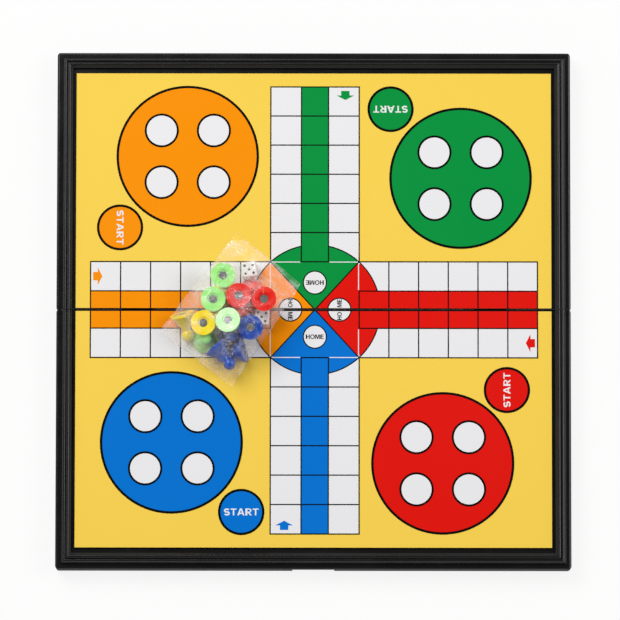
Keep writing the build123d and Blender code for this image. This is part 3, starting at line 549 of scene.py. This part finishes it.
# ---------------------------------------------------------------- dice
# Two dice moulded in white plastic and polished by tumbling, which rounds their edges. The
# pips are hollows filled with black paint.
DIE_WHITE, _ = moulded(
    "die_white", (0.80, 0.79, 0.76), (0.86, 0.85, 0.83), gloss=(0.16, 0.26), specular=0.5,
    flow_scale=120.0, grain=(2500.0, 0.05),
)
PIP_BLACK, _ = moulded(
    "pip_paint", (0.010, 0.010, 0.010), (0.018, 0.018, 0.018), gloss=(0.3, 0.45), specular=0.5
)
for number in (1, 2):
    finish_with(DIE_WHITE, f"die_{number}")
    finish_with(PIP_BLACK, f"die_{number}_pips")

# ---------------------------------------------------------------- polybag
# A clear pouch of thin blown film. Its upper film is hung over the heap like a slack tent,
# relaxed between the tops of the pieces, and lies nearly flat where the pouch is empty. It
# is crumpled all over and welded to the lower film along the edges.
FILM_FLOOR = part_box("polybag")[0].z
FILM_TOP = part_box("polybag")[1].z
FILM_STEPS = (150, 108)          # cells along the pouch, and across it
FILM_SEED = 7                    # of the vector noise, which otherwise starts from the clock
noise.seed_set(FILM_SEED)


def film_corner(side):
    """Outermost corner of the pouch on the board, towards one side."""
    corners = [v.co for v in nodes["polybag"].data.vertices]
    return max(corners, key=lambda corner: corner.to_2d().dot(Vector(side))).to_2d()


FILM_CORNERS = {
    "left": film_corner((-1, 0)),
    "top": film_corner((0, 1)),
    "right": film_corner((1, 0)),
    "bottom": film_corner((0, -1)),
}


def heap_tree():
    """Everything in the bag as one tree for ray casts."""
    corners, faces = [], []
    for name in nodes:
        if "_pawn_" in name or name in ("die_1", "die_2"):
            mesh = nodes[name].data
            first = len(corners)
            corners.extend(v.co.copy() for v in mesh.vertices)
            faces.extend([first + i for i in face.vertices] for face in mesh.polygons)
    return BVHTree.FromPolygons(corners, faces)


CREASES = ((75, 0.50), (160, 0.30), (340, 0.20))         # noise scale, share of the height
CREASE_SHARPNESS = 3.2
CREASE_BEND = 0.005              # how far the creases are bent off their course
BEND_SCALE = 70


def crumple(x, y, seed):
    """Height of sharp, irregular creases: 1 on a ridge, below 0 between them."""
    place = Vector((x, y, seed))
    place += CREASE_BEND * noise.noise_vector(place * BEND_SCALE)
    height = 0.0
    for scale, share in CREASES:
        fold = abs(noise.noise(place * scale + Vector((0, 0, scale))))
        height += share * (1 - CREASE_SHARPNESS * fold)
    return height


EDGE_WANDER = 0.0011
WANDER_SCALE = 110


def film_plan():
    """Grid of the pouch on the board: rows across, with slightly wandering edges."""
    along, across = FILM_STEPS
    grid = []
    for i in range(along + 1):
        s = i / along
        start = FILM_CORNERS["left"].lerp(FILM_CORNERS["top"], s)
        end = FILM_CORNERS["bottom"].lerp(FILM_CORNERS["right"], s)
        row = []
        for j in range(across + 1):
            point = start.lerp(end, j / across)
            drift = noise.noise_vector(Vector((point.x, point.y, 0)) * WANDER_SCALE)
            row.append(point + (drift * EDGE_WANDER).to_2d())
        grid.append(row)
    return grid


DROP_FROM = 0.08                 # rays fall on the heap from this height
FILM_CLEARANCE = 0.00025
FILM_SAG = 0.000004              # pull on each grid point, against its four neighbours
FILM_PASSES = 220
OVERSHOOT = 1.85                 # each pass goes past the mean, and so settles sooner


def film_rest(plan):
    """Height of the upper film: held up by the heap, pulled down between its pieces."""
    along, across = FILM_STEPS
    tree = heap_tree()
    floor_of = []
    for row in plan:
        line = []
        for point in row:
            hit = tree.ray_cast(Vector((point.x, point.y, DROP_FROM)), Vector((0, 0, -1)))[0]
            line.append(max(hit.z + FILM_CLEARANCE, FILM_FLOOR) if hit else FILM_FLOOR)
        floor_of.append(line)
    height = [line[:] for line in floor_of]
    for _ in range(FILM_PASSES):
        for i in range(1, along):
            here, low = height[i], floor_of[i]
            before, after = height[i - 1], height[i + 1]
            for j in range(1, across):
                level = (before[j] + after[j] + here[j - 1] + here[j + 1]) / 4 - FILM_SAG
                level = here[j] + OVERSHOOT * (level - here[j])
                here[j] = level if level > low[j] else low[j]
    return height, floor_of


WELD_WIDTH = 0.0022
LOOSENS_OVER = 0.006             # from the weld inwards, until the film is slack
CREASE_HEIGHT = 0.0003           # at the weld
SLACK_HEIGHT = 0.0011            # added to it where the film is slack
CREASE_RISE = 0.35               # moves the creases up, as a share of their height
DEEPEST_CREASE = 0.0006
WELD_SHARE = 0.4                 # of a crease's height that is left on the weld
LEAST_LIFT = 0.00005             # of the film over whatever holds it up
UNDER_CREASE = 0.00013
RIM_LIFT = 0.0002                # the rim stands off the lower film
RIM_CURL = 0.0005


def film_mesh():
    """The pouch as one closed skin: the upper film, the lower film and their common rim."""
    along, across = FILM_STEPS
    plan = film_plan()
    height, floor_of = film_rest(plan)
    cell = (FILM_CORNERS["top"] - FILM_CORNERS["left"]).length / along
    mesh = bmesh.new()
    upper, lower = [], []
    for i in range(along + 1):
        top_row, bottom_row = [], []
        for j in range(across + 1):
            point = plan[i][j]
            inside = min(i, along - i, j, across - j) * cell
            loose = min(1.0, max(0.0, (inside - WELD_WIDTH) / LOOSENS_OVER))
            crease = crumple(point.x, point.y, 0.0)
            lift = (CREASE_HEIGHT + SLACK_HEIGHT * loose) * (crease + CREASE_RISE)
            level = height[i][j] + max(lift, -DEEPEST_CREASE) * (1 if loose else WELD_SHARE)
            level = max(level, floor_of[i][j] + LEAST_LIFT)
            level = min(level, FILM_TOP)
            under = FILM_FLOOR - UNDER_CREASE * abs(crumple(point.x, point.y, 0.5))
            if inside == 0:
                level = under = FILM_FLOOR + RIM_LIFT + RIM_CURL * max(0.0, crease)
            spot = mesh.verts.new((point.x, point.y, level))
            top_row.append(spot)
            if inside > 0:
                spot = mesh.verts.new((point.x, point.y, under))
            bottom_row.append(spot)
        upper.append(top_row)
        lower.append(bottom_row)
    for i in range(along):
        for j in range(across):
            mesh.faces.new((upper[i][j], upper[i][j + 1], upper[i + 1][j + 1], upper[i + 1][j]))
            mesh.faces.new((lower[i][j], lower[i + 1][j], lower[i + 1][j + 1], lower[i][j + 1]))
    bmesh.ops.recalc_face_normals(mesh, faces=mesh.faces)
    return mesh


FOLD_LINE = 0.035                # width of a painted glint along a crease, in heights of the noise
PATCHES_PER_FOLD = 0.28
CRACKLE_DEPTH = 0.0004


def film_surface():
    """Blown film: a faint haze, painted white glints along the creases and fine crackle."""
    group, given, result = effect_group(
        "film_surface",
        {"Clear": 0.02, "Cloudy": 0.2, "Crease Glints": 0.3, "Crease Scale": 300.0,
         "Crackle Height": 0.6},
        {"Cover": "NodeSocketFloat", "Roughness": "NodeSocketFloat",
         "Normal": "NodeSocketVector"},
    )
    folds = noise_node(group, given.outputs["Crease Scale"], detail=4.0, distortion=1.2)
    off_fold = math_node(group, "ABSOLUTE", math_node(group, "SUBTRACT", folds, 0.5))
    line = range_node(group, off_fold, 1.0, 0.0, from_low=0.0, from_high=FOLD_LINE)
    patches = noise_node(group, given.outputs["Crease Scale"], detail=2.0, scale=PATCHES_PER_FOLD)
    patchy = range_node(group, patches, 0.0, 1.0, from_low=0.42, from_high=0.62)
    # Painted glints: the film turns white and opaque along the crease lines, in patches, to stand
    # in for light caught by the creases.
    painted_glints = math_node(group, "MULTIPLY", line, patchy)
    haze = range_node(group, patches, given.outputs["Clear"], given.outputs["Cloudy"],
                      from_low=0.40, from_high=0.66)
    cover = math_node(group, "MULTIPLY_ADD", painted_glints, given.outputs["Crease Glints"], haze)
    normal = bump_node(group, folds, given.outputs["Crackle Height"], CRACKLE_DEPTH)
    group.links.new(cover, result.inputs["Cover"])
    group.links.new(range_node(group, patches, 0.10, 0.22), result.inputs["Roughness"])
    group.links.new(normal, result.inputs["Normal"])
    return group


GRAZING_COVER = 0.42             # how much more of the film shows where it is seen edge on
FILM_SHADOW = 0.05               # thin film throws hardly any shadow


def film_material():
    """Mostly see-through, with a glossy skin that shows at grazing angles and on the creases,
    where its white cover is painted glints.
    """
    material, principled = shader("clear_film", (0.96, 0.93, 0.92), roughness=0.25, specular=0.5)
    principled.inputs["Coat Weight"].default_value = 1.0
    principled.inputs["Coat Roughness"].default_value = 0.10
    principled.inputs["Coat IOR"].default_value = 2.2
    tree = material.node_tree
    # The crease setting gives how strongly the painted white glints show on the creases.
    surface = place_group(tree, film_surface(), {
        "Clear": 0.005, "Cloudy": 0.12, "Crease Glints": 0.52, "Crease Scale": 300.0,
        "Crackle Height": 1.0,
    })
    grazing = tree.nodes.new("ShaderNodeLayerWeight")
    grazing.inputs["Blend"].default_value = 0.30
    cover = math_node(tree, "MULTIPLY_ADD", grazing.outputs["Facing"], GRAZING_COVER,
                      surface.outputs["Cover"], clamp=True)
    path = tree.nodes.new("ShaderNodeLightPath")
    lit = range_node(tree, path.outputs["Is Shadow Ray"], 1.0, FILM_SHADOW,
                     from_low=0.0, from_high=1.0)
    clear = tree.nodes.new("ShaderNodeBsdfTransparent")
    mix = tree.nodes.new("ShaderNodeMixShader")
    output = tree.nodes["Material Output"]
    tree.links.new(surface.outputs["Roughness"], principled.inputs["Roughness"])
    tree.links.new(surface.outputs["Normal"], principled.inputs["Normal"])
    tree.links.new(surface.outputs["Normal"], principled.inputs["Coat Normal"])
    tree.links.new(math_node(tree, "MULTIPLY", cover, lit), mix.inputs["Fac"])
    tree.links.new(clear.outputs[0], mix.inputs[1])
    tree.links.new(principled.outputs[0], mix.inputs[2])
    tree.links.new(mix.outputs[0], output.inputs["Surface"])
    return material


pouch = bpy.data.meshes.new("bag_film")
shape = film_mesh()
shape.to_mesh(pouch)
shape.free()
bag_film = bpy.data.objects.new("bag_film", pouch)
bpy.context.scene.collection.objects.link(bag_film)
for face in pouch.polygons:
    face.use_smooth = True
pouch.materials.append(film_material())
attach(bag_film, "bag_of_pieces")
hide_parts("polybag")

# ---------------------------------------------------------------- floor, light and camera
# A pale studio floor, which the camera and reflections see as nearly white, two softboxes,
# and light walls under a dark ceiling. The camera stands high above the board, a little
# towards its front, and has a long lens.
FLOOR_SIZE = 60.0
FLOOR_LEVEL = -0.0001
FLOOR_WHITENESS = 0.86           # share of plain white that camera and reflections see
bpy.ops.mesh.primitive_plane_add(size=FLOOR_SIZE, location=(0, 0, FLOOR_LEVEL))
floor = bpy.context.object
floor.name = "studio_floor"
floor_paint = bpy.data.materials.new("floor_paint")
floor_paint.use_nodes = True
tree = floor_paint.node_tree
tree.nodes.clear()
output = tree.nodes.new("ShaderNodeOutputMaterial")
paint = tree.nodes.new("ShaderNodeBsdfDiffuse")
paint.inputs["Color"].default_value = (0.90, 0.90, 0.895, 1)
white = tree.nodes.new("ShaderNodeEmission")
white.inputs["Color"].default_value = (1.0, 1.0, 0.997, 1)
path = tree.nodes.new("ShaderNodeLightPath")
mirrored = math_node(tree, "MAXIMUM", path.outputs["Is Glossy Ray"],
                     path.outputs["Is Transmission Ray"])
seen = math_node(tree, "MAXIMUM", path.outputs["Is Camera Ray"], mirrored)
mix = tree.nodes.new("ShaderNodeMixShader")
tree.links.new(math_node(tree, "MULTIPLY", seen, FLOOR_WHITENESS), mix.inputs["Fac"])
tree.links.new(paint.outputs[0], mix.inputs[1])
tree.links.new(white.outputs[0], mix.inputs[2])
tree.links.new(mix.outputs[0], output.inputs["Surface"])
floor.data.materials.append(floor_paint)

CEILING_STARTS = 0.55            # upward part of a direction, where the walls begin to darken
CEILING_FULL = 0.93
WALL_LIGHT = 0.50
CEILING_LIGHT = 0.03
world = bpy.data.worlds.new("studio")
bpy.context.scene.world = world
world.use_nodes = True
tree = world.node_tree
background = tree.nodes["Background"]
direction = tree.nodes.new("ShaderNodeTexCoord")
split = tree.nodes.new("ShaderNodeSeparateXYZ")
tree.links.new(direction.outputs["Generated"], split.inputs[0])
strength = range_node(tree, split.outputs["Z"], WALL_LIGHT, CEILING_LIGHT,
                      from_low=CEILING_STARTS, from_high=CEILING_FULL)
tree.links.new(strength, background.inputs["Strength"])
background.inputs["Color"].default_value = (1, 1, 1, 1)


def soft_lamp(name, azimuth, elevation, distance, size, power):
    """A square softbox aimed at the board; azimuth 0 is behind the board, +90 to its right."""
    lamp = bpy.data.lights.new(name, "AREA")
    lamp.size = size
    lamp.energy = power
    holder = bpy.data.objects.new(name, lamp)
    bpy.context.scene.collection.objects.link(holder)
    across = math.radians(azimuth)
    up = math.radians(elevation)
    level = math.cos(up)
    away = Vector((math.sin(across) * level, math.cos(across) * level, math.sin(up)))
    holder.location = away * distance
    holder.rotation_euler = away.to_track_quat("Z", "Y").to_euler()


soft_lamp("key_softbox", azimuth=-42, elevation=50, distance=2.6, size=1.4, power=46)
soft_lamp("side_softbox", azimuth=80, elevation=46, distance=2.6, size=1.2, power=22)

CAMERA_TILT = 6.49               # degrees off the vertical, towards the front
CAMERA_ROLL = 0.063
CAMERA_DISTANCE = 4.264
LENS_LENGTH = 396.8              # millimetres
SENSOR_WIDTH = 36
AIM = Vector((-0.00168, 0.00155, 0))
camera_data = bpy.data.cameras.new("view_camera")
camera_data.lens = LENS_LENGTH
camera_data.sensor_width = SENSOR_WIDTH
camera_data.clip_start = 0.1
camera_data.clip_end = 100
camera = bpy.data.objects.new("view_camera", camera_data)
bpy.context.scene.collection.objects.link(camera)
tilt = math.radians(CAMERA_TILT)
camera.location = AIM + Vector((0, -math.sin(tilt), math.cos(tilt))) * CAMERA_DISTANCE
camera.rotation_euler = (tilt, 0, math.radians(CAMERA_ROLL))
bpy.context.scene.camera = camera
bpy.context.scene.view_settings.view_transform = "Standard"
